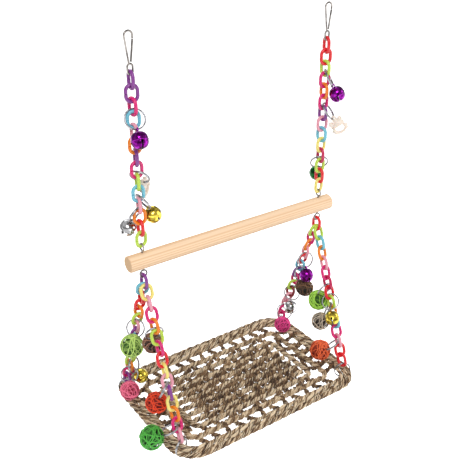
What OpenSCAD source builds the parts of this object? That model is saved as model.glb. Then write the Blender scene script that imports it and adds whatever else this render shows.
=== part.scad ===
// Bird swing: a wooden perch on two plastic chains, with a woven mat hung below it on four more.
// X runs along the perch, Y from the front to the back, Z up. The origin is where the head of the
// left clip rests on the cage bar.
// Millimetres throughout.

/* [Perch] */
// Length of the wooden perch
perch_length = 280; // [270:1:320]
// Diameter of the perch
perch_d = 18.5; // [16:0.5:24]
// Bevel round each end of the perch
perch_bevel = 0.8; // [0.4:0.1:1.5]
// From each end of the perch to the hole for a chain's wire
perch_end = 17.5; // [12:0.5:25]
// Diameter of the wire that passes through the perch
eye_wire = 1.8; // [1.4:0.1:2]
// Outer diameter of the loop at each end of that wire
eye_loop = 10; // [9:0.2:11]
// Wire that shows between the wood and a loop
eye_neck = 2; // [1.5:0.5:5]

/* [Plastic chain] */
// Length of one chain link over its bends
link_length = 20; // [19:0.5:23]
// Width of one chain link
link_width = 15; // [14.8:0.1:16]
// Thickness of the moulded link
link_wire = 3.3; // [3:0.1:3.4]
// Slit in one side of each link, where it is snapped open
link_slit = 0.9; // [0.5:0.1:1.5]
// Play left between two pieces that hang in each other
slack = 0.3; // [0.2:0.05:0.4]
// Play left between the two chains that share one link
side_play = 0.4; // [0.3:0.05:0.5]
// Links in each upper chain
upper_links = 14; // [10:2:20]
// Links in each lower chain
lower_links = 14; // [12:2:18]
// Links at the foot of each lower chain that move with the mat
corner_links = 4; // [4:2:6]

/* [Wire clips] */
// Height of a clip
clip_height = 42.7; // [38:0.5:50]
// Width of a clip's head
clip_width = 10.6; // [10:0.2:13]
// Thickness of the clip's wire
clip_wire = 2; // [1.6:0.1:2.2]
// Width of the small eye at the clip's foot
clip_eye_width = 7.6; // [7.4:0.1:8.4]
// Height of that eye
clip_eye_height = 12; // [11:0.5:14]
// Length of the nose that the sprung arm shuts against
clip_nose = 3.2; // [2.5:0.1:4]
// How much thinner the arm is drawn than the rest
clip_draw = 0.12; // [0.1:0.02:0.2]

/* [Split rings] */
// Outer diameter of a split ring
ring_d = 22; // [21.6:0.1:23]
// Thickness of its wire
ring_wire = 1.5; // [1.2:0.1:1.6]

/* [Woven mat] */
// Distance between the front and back corner rings
corner_spacing = 132; // [120:1:140]
// Thickness of the braided border
border_rope = 13; // [11:0.5:13.5]
// Bend of the border's middle line at a corner
border_bend = 25.5; // [22:0.5:30]
// Thickness of the thinner rope laid round the outside of the border
edge_rope = 7; // [6:0.5:8]
// How far the edge rope is pressed into the border
edge_sink = 2; // [1.5:0.5:2.5]
// Turn of a corner ring from the end of the mat
corner_turn = 25; // [20:1:35]
// Thickness of the ropes inside the border
rope = 9; // [7:0.5:9.5]
// Open band between the border and the first rope inside it
border_gap = 10.5; // [9:0.5:12]
// Open band between the first and the second rope rectangle
frame_gap = 6; // [5:0.5:8]
// Bend of the inner rope rectangles at their corners
frame_bend = 9; // [8:0.5:12]
// Straight ropes inside the second rectangle
long_ropes = 6; // [4:1:7]
// Thickness of the short cords across the bands
cord = 6; // [4:0.5:7]
// Distance between the short cords
cord_pitch = 16; // [14:0.5:22]

/* [Bells] */
// Diameter of a jingle bell
bell_d = 17.5; // [15:0.5:19]
// Thickness of the bell's metal
bell_wall = 0.6; // [0.4:0.1:1]
// Width of the crossed slots under a bell
bell_slot = 1.6; // [1:0.1:2]
// Diameter of the holes at the ends of the slots
bell_hole = 2.8; // [2.2:0.1:3.2]
// Thickness of the seam round the bell's waist
bell_seam = 1; // [0.6:0.1:1.4]
// Diameter of the steel pellet inside
bell_pellet = 4; // [3.4:0.1:5]
// Wire of the loop on a bell
bell_loop_wire = 1.2; // [1:0.1:1.4]
// Opening of that loop
bell_loop_hole = 2.6; // [2.4:0.1:3.2]

/* [Vine balls] */
// Diameter of the light green ball
light_green_d = 27; // [22:0.5:28]
// Diameter of the brown ball
brown_d = 24; // [20:0.5:26]
// Diameter of the pink ball
pink_d = 23.5; // [20:0.5:26]
// Diameter of the red-orange ball
red_orange_d = 25; // [20:0.5:28]
// Diameter of the dark green ball
dark_green_d = 28; // [24:0.5:30]
// Diameter of the dark brown ball
dark_brown_d = 24.5; // [20:0.5:26]
// Diameter of the magenta ball
magenta_d = 22; // [20:0.5:24]
// Diameter of the lime green ball
lime_green_d = 26; // [22:0.5:26.5]
// Diameter of the taupe ball
taupe_d = 23; // [20:0.5:23.5]
// Diameter of the orange ball
orange_d = 27; // [22:0.5:28]
// Depth to which a ring is threaded into a ball
ball_sink = 3; // [2.5:0.1:4]

/* [Charms] */
// Radius of the charm's rocker and of its whole outline
charm_r = 11.5; // [10:0.5:12.5]
// Thickness of a charm
charm_thick = 3; // [2:0.5:4]
// Radius of the hole that the ring passes through
charm_hole = 1.4; // [1.3:0.1:1.6]
// Width of a charm's legs and rocker
charm_bar = 2.8; // [2.4:0.1:3.2]

/* [Hidden] */
$fn = 32;

// Colours of the plastic, as sRGB
purple = "#8a3f95";
hot_pink = "#e0337c";
light_pink = "#f0a8b8";
sky_blue = "#7cc8dc";
orange = "#f58a2a";
red = "#e8353b";
lime = "#bedc50";
yellow = "#f5e27a";
crimson = "#c8285a";
maroon = "#8e2a30";
steel = "#b9bbbd";
gold = "#e2bd33";
bell_green = "#145a28";
bell_purple = "#8a0e8c";
cream = "#f5e6d8";
wood = "#efcfa6";
seagrass = "#a98d6a";

// Colours of the links, from the top of each chain down
left_upper_colours = [purple, purple, hot_pink, sky_blue, light_pink, orange, purple, hot_pink,
    lime, sky_blue, light_pink, orange, red, lime];
right_upper_colours = [red, red, lime, hot_pink, orange, hot_pink, purple, light_pink, sky_blue,
    yellow, crimson, lime, red, yellow];
left_back_colours = [sky_blue, red, red, orange, lime, light_pink, purple, sky_blue, yellow,
    lime, lime, orange, hot_pink, purple];
left_front_colours = [yellow, light_pink, hot_pink, orange, lime, hot_pink, red, yellow,
    light_pink, purple, yellow, orange, hot_pink, light_pink];
right_back_colours = [lime, hot_pink, orange, light_pink, red, sky_blue, purple, hot_pink, lime,
    maroon, light_pink, light_pink, hot_pink, hot_pink];
right_front_colours = [lime, sky_blue, orange, light_pink, hot_pink, crimson, red, lime, orange,
    sky_blue, hot_pink, light_pink, red, red];

// The last link of a lower chain that isn't one of the mat's
chain_end = lower_links - corner_links;
// Where a cut runs past the solid that it cuts
cut = 1;
// Ropes are laid out to the nearest of these steps
rope_step = 0.01;
function laid(length) = round(length / rope_step) * rope_step;

// Chain geometry: the bends' middle lines, and the step from link to link
chain_spacing = perch_length - 2 * perch_end;
half_spacing = chain_spacing / 2;
link_bend = (link_width - link_wire) / 2;
link_half = (link_length - link_wire) / 2;
link_straight = link_length - link_width;
pitch = link_length - 2 * link_wire - slack;
eye_bend = (eye_loop - eye_wire) / 2;
eye_z = perch_d / 2 + eye_neck + eye_loop / 2;
eye_to_link = eye_z + eye_bend - (eye_wire + link_wire) / 2 - slack;
clip_z = 3 * clip_wire / 2 - clip_height;
upper_top = clip_z + (link_wire + clip_wire) / 2 + slack;
upper_low = upper_top - (upper_links - 1) * pitch - 2 * link_half;
perch_z = upper_low - eye_to_link;
yoke_z = perch_z - eye_to_link - link_half;
yoke_low = yoke_z - link_half;

// The two lower chains of one side share the yoke link, side by side
first_y = (link_wire + side_play) / 2;
first_drop = sqrt(pow(link_bend - link_wire - slack, 2) - pow(first_y, 2));
first_z = yoke_low + link_bend - first_drop;
lower_length = (lower_links - 1) * pitch + 2 * link_half;
corner_y = corner_spacing / 2;
chain_lean = asin((corner_y - first_y) / lower_length);
corner_z = first_z - lower_length * cos(chain_lean);

// Split rings, and how high a ring's wire rides on the link under it
ring_bend = (ring_d - ring_wire) / 2;
ring_rise = (link_wire + ring_wire) / 2 + slack;

// The mat hangs in the corner rings, which lie against the border from below
corner_ring_z = corner_z + ring_rise / cos(chain_lean) + slack - ring_bend;
mat_z = corner_ring_z - (ring_bend - ring_wire / 2 - border_rope / 2 - slack);
border_x = laid(half_spacing + border_bend * (1 - cos(corner_turn)));
border_y = laid(corner_y + border_bend * (1 - sin(corner_turn)));
edge_step = (border_rope + edge_rope) / 2 - edge_sink;
edge_reach = edge_step + edge_rope / 2;
frame_step = border_rope / 2 + border_gap + rope / 2;
frame_x = border_x - frame_step;
frame_y = border_y - frame_step;
inner_x = frame_x - rope - frame_gap;
inner_y = frame_y - rope - frame_gap;
long_step = laid(2 * inner_y / (long_ropes + 1));
long_length = 2 * (inner_x - rope / 2 - slack);
cord_seat = slack / 2;

// Clips: heights above the middle of the wire at the foot of the eye
clip_bend = (clip_width - clip_wire) / 2;
clip_eye_bend = (clip_eye_width - clip_wire) / 2;
clip_eye_top = clip_eye_height - clip_wire;
clip_shoulder = clip_height - clip_wire - clip_bend;
gate_foot_x = clip_wire / 2 + slack;
gate_seat_share = 0.7;
gate_lift_share = 0.125;
gate_foot_z = clip_eye_top + clip_wire * gate_seat_share + slack;
gate_tip_x = clip_bend;
gate_tip_z = clip_shoulder - clip_nose - clip_wire * gate_lift_share - slack;
// The arm runs from the top of the eye into the hook, a little past its start
arm_sink_share = 0.1;
arm_start = [-clip_wire / 2, clip_eye_top];
arm_run = [-clip_bend, clip_shoulder] - arm_start;
arm_end = arm_start + arm_run * (1 + clip_wire * arm_sink_share / norm(arm_run));

// Bells and charms: sizes down from the ring that holds them
bell_r = bell_d / 2;
bell_loop_bend = (bell_loop_hole + bell_loop_wire) / 2;
bell_loop_drop = bell_loop_bend - (ring_wire + bell_loop_wire) / 2 - slack / 2;
bell_length = 2 * ring_bend + bell_loop_drop + bell_loop_bend + bell_r;
bell_slot_share = 0.22;
pellet_drop = bell_r - bell_wall - bell_pellet / 2 - slack / 2;
charm_hole_drop = charm_hole - ring_wire / 2 - slack / 2;
charm_hole_share = 0.74;
charm_length = 2 * ring_bend + charm_hole_drop + charm_r * charm_hole_share;

// What a hanging piece rests against
on_chain = 0;
on_mat = 1;
on_edge = 2;

// Each hanging piece: side, chain (0 upper, 1 back, -1 front), link, direction, twist of its ring,
// radius, length below the link, rest
function place(side, row, link, way, twist, radius, length, rest) =
    [side, row, link, way, twist, radius, length, rest];
function bell_place(side, row, link, way, twist) =
    place(side, row, link, way, twist, bell_r, bell_length, on_chain);
function charm_place(side, row, link, way) =
    place(side, row, link, way, 0, charm_r, charm_length, on_chain);
function ball_place(side, row, link, way, twist, d, rest) =
    place(side, row, link, way, twist, d / 2, 2 * ring_bend + d / 2 - ball_sink, rest);

purple_1 = bell_place(-1, 0, 3, 260, 0);
gold_1 = bell_place(-1, 0, 10, 5, 0);
silver_1 = bell_place(-1, 0, 11, 120, 0);
purple_2 = bell_place(1, 0, 3, 320, 0);
green_1 = bell_place(1, 0, 11, 60, 0);
gold_2 = bell_place(-1, 1, 11, 355, -50);
purple_3 = bell_place(1, 1, 4, 260, 0);
silver_2 = bell_place(1, 1, 9, 217, 0);
gold_3 = bell_place(1, -1, 7, 240, -15);
charm_1 = charm_place(-1, 0, 8, 40);
charm_2 = charm_place(1, 0, 6, 310);
light_green_at = ball_place(-1, 1, 5, 210, 15, light_green_d, on_chain);
brown_at = ball_place(-1, -1, 4, 80, 0, brown_d, on_chain);
pink_at = ball_place(-1, 1, 12, 240, 0, pink_d, on_mat);
red_orange_at = ball_place(-1, -1, 9, 150, -15, red_orange_d, on_chain);
dark_green_at = ball_place(-1, -1, 13, 160, -15, dark_green_d, on_edge);
dark_brown_at = ball_place(1, 1, 6, 270, 0, dark_brown_d, on_chain);
magenta_at = ball_place(1, 1, 12, 220, 15, magenta_d, on_mat);
lime_green_at = ball_place(1, -1, 6, 110, -15, lime_green_d, on_chain);
taupe_at = ball_place(1, -1, 8, 150, -15, taupe_d, on_chain);
orange_at = ball_place(1, -1, 12, 120, 0, orange_d, on_mat);

// Each piece that rests against the one below it, where that keeps it clear
leans = [[purple_3, dark_brown_at], [lime_green_at, taupe_at], [taupe_at, orange_at]];

// Start and direction of a chain: row is 0 for the upper one, 1 for the back and -1 for the front
function side_x(side) = half_spacing * (1 + side);
function chain_start(side, row) = row == 0 ? [side_x(side), 0, upper_top]
    : [side_x(side), row * first_y, first_z];
function chain_run(row) = row == 0 ? [0, 0, -1] : [0, row * sin(chain_lean), -cos(chain_lean)];

// The point where a ring is threaded through a link, on top of the next link's bend
function thread_point(at) = chain_start(at[0], at[1]) + chain_run(at[1]) * (at[2] * pitch - ring_rise);

// How far a chain reaches sideways in a direction
function chain_reach(way) = link_bend * max(abs(cos(way)), abs(sin(way))) + link_wire / 2;

// Tilt at which a piece just leans on its own chain, from the chain's slope and the room it needs
function chain_tilt(at) =
    let (
        away = asin((chain_reach(at[3]) + at[5] + slack) / at[6]),
        run = chain_run(at[1]),
        across = run[0] * cos(at[3]) + run[1] * sin(at[3]),
        down = -run[2],
        turn = norm([across, down])
    )
    atan2(across, down) + acos(cos(away) / turn);

// Tilt at which a piece lies on the mat, or hangs just clear of the mat's end
function mat_tilt(at) =
    let (drop = thread_point(at)[2] - mat_z - border_rope / 2 - at[5] - slack)
    drop < at[6] ? max(acos(drop / at[6]), chain_tilt(at)) : chain_tilt(at);
function edge_tilt(at) =
    let (out = border_x + edge_reach + at[5] + slack - half_spacing)
    asin(out / abs(cos(at[3])) / at[6]);

// Tilt at which a piece rests against the outer side of another that hangs below it
function side_tilt(at, other) =
    let (
        gap = thread_point(at) - middle_of(other),
        room = at[5] + other[5] + slack,
        out = gap[0] * cos(at[3]) + gap[1] * sin(at[3]),
        share = (room * room - gap * gap - at[6] * at[6]) / (2 * at[6] * norm([out, gap[2]]))
    )
    abs(share) < 1 ? atan2(gap[2], out) + asin(share) : 0;
function middle_of(at) =
    let (tilt = rest_tilt(at))
    thread_point(at) + at[6] * [sin(tilt) * cos(at[3]), sin(tilt) * sin(at[3]), -cos(tilt)];
function own_tilt(at) = at[7] == on_mat ? mat_tilt(at) : at[7] == on_edge ? edge_tilt(at) : chain_tilt(at);
function rest_tilt(at) =
    max([own_tilt(at), for (pair = leans) if (pair[0] == at) side_tilt(at, pair[1])]);

// A bent round wire: part of a ring about Z, from +X on
module bent_wire(bend, wire, angle) {
    rotate_extrude(angle = angle) translate([bend, 0]) circle(d = wire);
}

// A whole ring of round wire about X
module wire_ring(bend, wire) {
    rotate([0, 90, 0]) rotate_extrude() translate([bend, 0]) circle(d = wire);
}

// A straight wire from one point to another in the XZ plane
module straight_wire(from, to, wire) {
    run = to - from;
    translate([from[0], 0, from[1]])
        rotate([0, atan2(run[0], run[1]), 0])
            cylinder(d = wire, h = norm(run));
}

// One moulded link in the XZ plane, open at a slit in one side
module chain_link() {
    leg = (link_straight - link_slit) / 2;
    translate([0, 0, link_straight / 2]) rotate([90, 0, 0]) bent_wire(link_bend, link_wire, 180);
    translate([0, 0, -link_straight / 2]) rotate([-90, 0, 0]) bent_wire(link_bend, link_wire, 180);
    translate([-link_bend, 0, -link_straight / 2]) cylinder(d = link_wire, h = link_straight);
    translate([link_bend, 0, -link_straight / 2]) cylinder(d = link_wire, h = leg);
    translate([link_bend, 0, link_straight / 2 - leg]) cylinder(d = link_wire, h = leg);
}

// The links of a chain from one number to another, each turned a quarter from the last
module chain_links(side, row, from, to, colours) {
    first_turn = row == 0 ? 90 : 0;
    for (i = [from:to])
        color(colours[(i - 1) % len(colours)])
            translate(chain_start(side, row) + chain_run(row) * (link_half + (i - 1) * pitch))
                rotate([row * chain_lean, 0, 0])
                    rotate([0, 0, first_turn + 90 * ((i - 1) % 2)])
                        chain_link();
}

// The link between the perch's lower eye and the two lower chains
module yoke_link(side, tint) {
    color(tint)
        translate([side_x(side), 0, yoke_z])
            rotate([0, 0, 90])
                chain_link();
}

// Wire bent to a loop at both ends, pushed through the perch
module eye_wire_piece(side) {
    color(steel) translate([side_x(side), 0, perch_z]) {
        translate([0, 0, eye_z]) wire_ring(eye_bend, eye_wire);
        translate([0, 0, -eye_z]) rotate([0, 0, 90]) wire_ring(eye_bend, eye_wire);
        translate([0, 0, -eye_z + eye_bend]) cylinder(d = eye_wire, h = 2 * (eye_z - eye_bend));
    }
}

// The dowel, with a bevel at both ends and a hole for each eye wire
module perch_piece() {
    color(wood) translate([half_spacing, 0, perch_z]) difference() {
        rotate([0, 90, 0]) rotate_extrude() polygon([
            [0, -perch_length / 2],
            [perch_d / 2 - perch_bevel, -perch_length / 2],
            [perch_d / 2, -perch_length / 2 + perch_bevel],
            [perch_d / 2, perch_length / 2 - perch_bevel],
            [perch_d / 2 - perch_bevel, perch_length / 2],
            [0, perch_length / 2]
        ]);
        for (side = [-1, 1])
            translate([side * half_spacing, 0, -perch_d / 2 - cut])
                cylinder(d = eye_wire + slack / 2, h = perch_d + 2 * cut);
    }
}

// The clip's eye, fixed arm, rounded head and nose, all one bent wire
module clip_frame(side) {
    color(steel) translate([side_x(side), 0, clip_z]) {
        translate([0, 0, clip_eye_bend]) rotate([-90, 0, 0]) bent_wire(clip_eye_bend, clip_wire, 180);
        for (x = [-clip_eye_bend, clip_eye_bend])
            translate([x, 0, clip_eye_bend]) cylinder(d = clip_wire, h = clip_eye_top - 2 * clip_eye_bend);
        translate([0, 0, clip_eye_top - clip_eye_bend])
            rotate([90, 0, 0]) bent_wire(clip_eye_bend, clip_wire, 180);
        straight_wire(arm_start, arm_end, clip_wire - clip_draw);
        translate([0, 0, clip_shoulder]) rotate([90, 0, 0]) bent_wire(clip_bend, clip_wire, 180);
        translate([clip_bend, 0, clip_shoulder - clip_nose]) cylinder(d = clip_wire, h = clip_nose);
    }
}

// The sprung arm, which shuts under the nose and opens inwards
module clip_gate(side) {
    color(steel) translate([side_x(side), 0, clip_z]) {
        straight_wire([gate_foot_x, gate_foot_z], [gate_tip_x, gate_tip_z], clip_wire);
    }
}

// Places what hangs from a chain: Z runs up the tilted ring, and the ring's top is at the origin
module hang(at) {
    translate(thread_point(at))
        rotate([0, 0, at[3]])
            rotate([0, -rest_tilt(at), 0])
                rotate([0, 0, at[4]])
                    children();
}

// The split ring that holds a piece
module split_ring() {
    color(steel) translate([0, 0, -ring_bend]) wire_ring(ring_bend, ring_wire);
}

// A hollow jingle bell with a waist seam, crossed slots, a wire loop and a loose pellet
module bell(at, tint) {
    hang(at) {
        split_ring();
        color(tint) translate([0, 0, -at[6]]) {
            difference() {
                union() {
                    sphere(r = bell_r);
                    rotate_extrude() translate([bell_r, 0]) circle(d = bell_seam);
                    translate([0, 0, at[6] - 2 * ring_bend - bell_loop_drop])
                        rotate([0, 0, 90]) wire_ring(bell_loop_bend, bell_loop_wire);
                }
                sphere(r = bell_r - bell_wall);
                for (turn = [0, 90])
                    rotate([0, 0, turn]) {
                        translate([-bell_r - cut, -bell_slot / 2, -bell_r - cut])
                            cube([2 * (bell_r + cut), bell_slot, bell_r * (1 - bell_slot_share) + cut]);
                        translate([-bell_r - cut, 0, -bell_r * bell_slot_share])
                            rotate([0, 90, 0]) cylinder(d = bell_hole, h = 2 * (bell_r + cut));
                    }
            }
        }
        color(steel) translate([0, 0, -at[6] - pellet_drop]) sphere(d = bell_pellet);
    }
}

// A flat rocking-horse charm of moulded plastic
module charm(at) {
    head_shares = [0.5, 0.4];
    rump_shares = [-0.58, 0.3];
    rocker_share = 0.62;
    leg_share = 0.82;
    leg_splay = 14;
    leg = charm_r * leg_share;
    hole_z = charm_r * charm_hole_share;
    hang(at) {
        split_ring();
        color(cream) translate([0, charm_thick / 2, -at[6]]) rotate([90, 0, 0])
            linear_extrude(height = charm_thick) difference() {
                union() {
                    intersection() {
                        difference() {
                            circle(r = charm_r);
                            circle(r = charm_r - charm_bar);
                        }
                        translate([-charm_r, -charm_r]) square([2 * charm_r, charm_r * rocker_share]);
                    }
                    translate([-charm_r / 2, -charm_bar]) square([charm_r, 2 * charm_bar]);
                    for (side = [-1, 1]) {
                        translate([side * charm_r / 2, 0]) circle(r = charm_bar);
                        translate([side * charm_r / 2, 0]) rotate(side * leg_splay)
                            translate([-charm_bar / 2, -leg]) square([charm_bar, leg]);
                    }
                    translate(charm_r * head_shares) circle(r = charm_bar);
                    translate(charm_r * rump_shares) circle(r = charm_bar);
                    translate([0, hole_z]) circle(r = charm_hole + charm_bar / 2);
                    translate([-charm_bar, 0]) square([2 * charm_bar, hole_z]);
                }
                translate([0, hole_z]) circle(r = charm_hole);
            }
    }
}

// A wound vine ball, with room for the ring that is threaded through its strands
module ball(at, tint) {
    color(tint) hang(at) difference() {
        translate([0, 0, -at[6]]) sphere(r = at[5]);
        translate([0, 0, -ring_bend]) wire_ring(ring_bend, ring_wire + 2 * slack);
    }
}

module ball_ring(at) {
    hang(at) split_ring();
}

// One split ring round the border at each corner of the mat
module corner_ring_set(wire) {
    for (side = [-1, 1], row = [-1, 1])
        translate([side_x(side), row * corner_y, corner_ring_z])
            rotate([0, 0, side * row * corner_turn - 90])
                wire_ring(ring_bend, wire);
}

// A closed rope rectangle with round corners, lying flat
module rope_rectangle(half_x, half_y, bend, thick) {
    for (sx = [-1, 1], sy = [-1, 1])
        translate([sx * (half_x - bend), sy * (half_y - bend), 0])
            rotate([0, 0, sx > 0 ? (sy > 0 ? 0 : 270) : (sy > 0 ? 90 : 180)])
                bent_wire(bend, thick, 90);
    for (sy = [-1, 1])
        translate([-(half_x - bend), sy * half_y, 0])
            rotate([0, 90, 0]) cylinder(d = thick, h = 2 * (half_x - bend));
    for (sx = [-1, 1])
        translate([sx * half_x, half_y - bend, 0])
            rotate([90, 0, 0]) cylinder(d = thick, h = 2 * (half_y - bend));
}

module border() {
    color(seagrass) difference() {
        translate([half_spacing, 0, mat_z]) {
            rope_rectangle(border_x, border_y, border_bend, border_rope);
            rope_rectangle(border_x + edge_step, border_y + edge_step, border_bend + edge_step, edge_rope);
        }
        corner_ring_set(ring_wire + slack);
    }
}

// The two rope rectangles inside the border and the straight ropes inside those
module ropes() {
    color(seagrass) translate([half_spacing, 0, mat_z]) {
        rope_rectangle(frame_x, frame_y, frame_bend, rope);
        rope_rectangle(inner_x, inner_y, frame_bend, rope);
        for (i = [1:long_ropes])
            translate([-long_length / 2, -inner_y + i * long_step, 0])
                rotate([0, 90, 0]) cylinder(d = rope, h = long_length);
    }
}

// A row of short cords across a band, spread evenly over a length
module cord_row(from, to, half_run) {
    count = floor(2 * half_run / cord_pitch);
    step = 2 * half_run / count;
    for (i = [0:count])
        translate([-half_run + i * step, from + cord_seat, 0])
            rotate([-90, 0, 0]) cylinder(d = cord, h = to - from - 2 * cord_seat);
}

module cross_cords() {
    outer_run = frame_x - frame_bend;
    inner_run = inner_x - frame_bend;
    color(seagrass) translate([half_spacing, 0, mat_z]) {
        for (turn = [0, 180])
            rotate([0, 0, turn]) {
                cord_row(frame_y + rope / 2, border_y - border_rope / 2, outer_run);
                cord_row(inner_y + rope / 2, frame_y - rope / 2, inner_run);
                rotate([0, 0, 90]) {
                    cord_row(frame_x + rope / 2, border_x - border_rope / 2, frame_y - frame_bend);
                    cord_row(inner_x + rope / 2, frame_x - rope / 2, inner_y - frame_bend);
                }
            }
        for (i = [0:long_ropes])
            translate([i % 2 == 0 ? 0 : cord_pitch / 2 - cord, 0, 0])
                cord_row(-inner_y + i * long_step + rope / 2, -inner_y + (i + 1) * long_step - rope / 2,
                    inner_run - cord_pitch);
    }
}

clip_frame(-1);  // left_clip_frame
clip_gate(-1);  // left_clip_gate
clip_frame(1);  // right_clip_frame
clip_gate(1);  // right_clip_gate
chain_links(-1, 0, 1, 1, left_upper_colours);  // left_top_link
chain_links(-1, 0, 2, upper_links - 1, left_upper_colours);  // left_upper_chain
chain_links(-1, 0, upper_links, upper_links, left_upper_colours);  // left_perch_link
eye_wire_piece(-1);  // left_eye_wire
yoke_link(-1, purple);  // left_yoke_link
chain_links(1, 0, 1, 1, right_upper_colours);  // right_top_link
chain_links(1, 0, 2, upper_links - 1, right_upper_colours);  // right_upper_chain
chain_links(1, 0, upper_links, upper_links, right_upper_colours);  // right_perch_link
eye_wire_piece(1);  // right_eye_wire
yoke_link(1, red);  // right_yoke_link
perch_piece();  // perch
chain_links(-1, 1, 1, chain_end, left_back_colours);  // left_back_chain
chain_links(-1, -1, 1, chain_end, left_front_colours);  // left_front_chain
chain_links(1, 1, 1, chain_end, right_back_colours);  // right_back_chain
chain_links(1, -1, 1, chain_end, right_front_colours);  // right_front_chain
chain_links(-1, 1, chain_end + 1, lower_links, left_back_colours);  // left_back_corner_links
chain_links(-1, -1, chain_end + 1, lower_links, left_front_colours);  // left_front_corner_links
chain_links(1, 1, chain_end + 1, lower_links, right_back_colours);  // right_back_corner_links
chain_links(1, -1, chain_end + 1, lower_links, right_front_colours);  // right_front_corner_links
color(steel) corner_ring_set(ring_wire);  // corner_rings
border();  // mat_border
ropes();  // mat_ropes
cross_cords();  // mat_cross_cords
bell(purple_1, bell_purple);  // left_purple_bell
bell(gold_1, gold);  // left_gold_bell
bell(silver_1, steel);  // left_silver_bell
bell(purple_2, bell_purple);  // right_purple_bell
bell(green_1, bell_green);  // right_green_bell
bell(gold_2, gold);  // mat_gold_bell
bell(purple_3, bell_purple);  // lower_purple_bell
bell(silver_2, steel);  // lower_silver_bell
bell(gold_3, gold);  // lower_gold_bell
charm(charm_1);  // left_charm
charm(charm_2);  // right_charm
ball(light_green_at, "#8cc152");  // light_green_ball
ball(brown_at, "#5c3a2c");  // brown_ball
ball(pink_at, "#f2587f");  // pink_ball
ball(red_orange_at, "#f2401e");  // red_orange_ball
ball(dark_green_at, "#3e9a36");  // dark_green_ball
ball(dark_brown_at, "#4a2c28");  // dark_brown_ball
ball(magenta_at, "#e01e72");  // magenta_ball
ball(lime_green_at, "#86c62a");  // lime_green_ball
ball(taupe_at, "#8c7763");  // taupe_ball
ball(orange_at, "#f0501e");  // orange_ball
ball_ring(light_green_at);  // light_green_ring
ball_ring(brown_at);  // brown_ring
ball_ring(pink_at);  // pink_ring
ball_ring(red_orange_at);  // red_orange_ring
ball_ring(dark_green_at);  // dark_green_ring
ball_ring(dark_brown_at);  // dark_brown_ring
ball_ring(magenta_at);  // magenta_ring
ball_ring(lime_green_at);  // lime_green_ring
ball_ring(taupe_at);  // taupe_ring
ball_ring(orange_at);  // orange_ring
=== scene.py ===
import math
import random

import bmesh
import bpy
import numpy as np
from mathutils import Matrix, Vector


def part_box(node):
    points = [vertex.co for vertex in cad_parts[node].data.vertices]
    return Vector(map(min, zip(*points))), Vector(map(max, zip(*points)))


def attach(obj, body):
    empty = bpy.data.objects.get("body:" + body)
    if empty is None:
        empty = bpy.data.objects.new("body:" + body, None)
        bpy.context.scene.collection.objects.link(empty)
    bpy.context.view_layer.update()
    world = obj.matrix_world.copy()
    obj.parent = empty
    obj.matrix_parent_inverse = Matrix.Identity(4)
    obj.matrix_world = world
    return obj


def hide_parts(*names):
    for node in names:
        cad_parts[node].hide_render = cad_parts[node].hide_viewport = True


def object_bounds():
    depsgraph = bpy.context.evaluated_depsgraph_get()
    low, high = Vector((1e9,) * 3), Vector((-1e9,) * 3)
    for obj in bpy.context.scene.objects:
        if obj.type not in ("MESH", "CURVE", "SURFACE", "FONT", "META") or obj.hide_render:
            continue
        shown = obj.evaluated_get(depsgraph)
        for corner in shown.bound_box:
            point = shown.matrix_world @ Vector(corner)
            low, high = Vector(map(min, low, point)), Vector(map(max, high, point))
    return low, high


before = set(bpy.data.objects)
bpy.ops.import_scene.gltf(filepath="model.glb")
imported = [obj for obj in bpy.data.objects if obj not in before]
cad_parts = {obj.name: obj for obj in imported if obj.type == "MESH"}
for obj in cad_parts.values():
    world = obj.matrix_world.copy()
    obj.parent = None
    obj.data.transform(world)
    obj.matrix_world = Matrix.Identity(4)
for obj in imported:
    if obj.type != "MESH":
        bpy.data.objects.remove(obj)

MM = 0.001
cad_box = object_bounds()
scene = bpy.context.scene
scene.view_settings.view_transform = "Standard"


# Camera. It looks down on the swing from the front left, as the photograph does, with a 35 degree view
# across a 470 pixel frame. It aims a little below the middle of the perch.
def in_scene(name, data):
    """A new object in the scene, unturned and at the origin."""
    made = bpy.data.objects.new(name, data)
    scene.collection.objects.link(made)
    return made


focal_pixels = 745
frame_pixels = 470
camera_aim = Vector((120.5, 0, -246.75)) * MM
camera_distance = 860 * MM
camera_azimuth = math.radians(-35)
camera_elevation = math.radians(27.5)
camera_back = Vector((math.sin(camera_azimuth) * math.cos(camera_elevation),
                      -math.cos(camera_azimuth) * math.cos(camera_elevation),
                      math.sin(camera_elevation)))
camera = in_scene("camera", bpy.data.cameras.new("camera"))
camera.data.lens = camera.data.sensor_width * focal_pixels / frame_pixels
camera.location = camera_aim + camera_back * camera_distance
camera.rotation_euler = camera_back.to_track_quat("Z", "Y").to_euler()
scene.camera = camera


# Floor and light. The swing hangs over a plain white floor in soft studio light: one broad lamp from the
# upper left, weaker ones from the right and from behind, and a white room that also shows in the metal.
def linear(code):
    """Turns an sRGB hex colour into the linear values that a shader takes."""
    parts = [int(code[i:i + 2], 16) / 255 for i in (1, 3, 5)]
    return [c / 12.92 if c <= 0.04045 else ((c + 0.055) / 1.055) ** 2.4 for c in parts] + [1.0]


def add(tree, kind, inputs=None, **settings):
    """Adds a node, with its settings and with values or links for its inputs."""
    node = tree.nodes.new(kind)
    for name, value in settings.items():
        setattr(node, name, value)
    for name, value in (inputs or {}).items():
        if isinstance(value, bpy.types.NodeSocket):
            tree.links.new(value, node.inputs[name])
        else:
            node.inputs[name].default_value = value
    return node


def math_node(tree, operation, a, b=0.0, c=0.0):
    """One step of arithmetic on up to three values or sockets."""
    return add(tree, "ShaderNodeMath", {0: a, 1: b, 2: c}, operation=operation).outputs[0]


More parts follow.
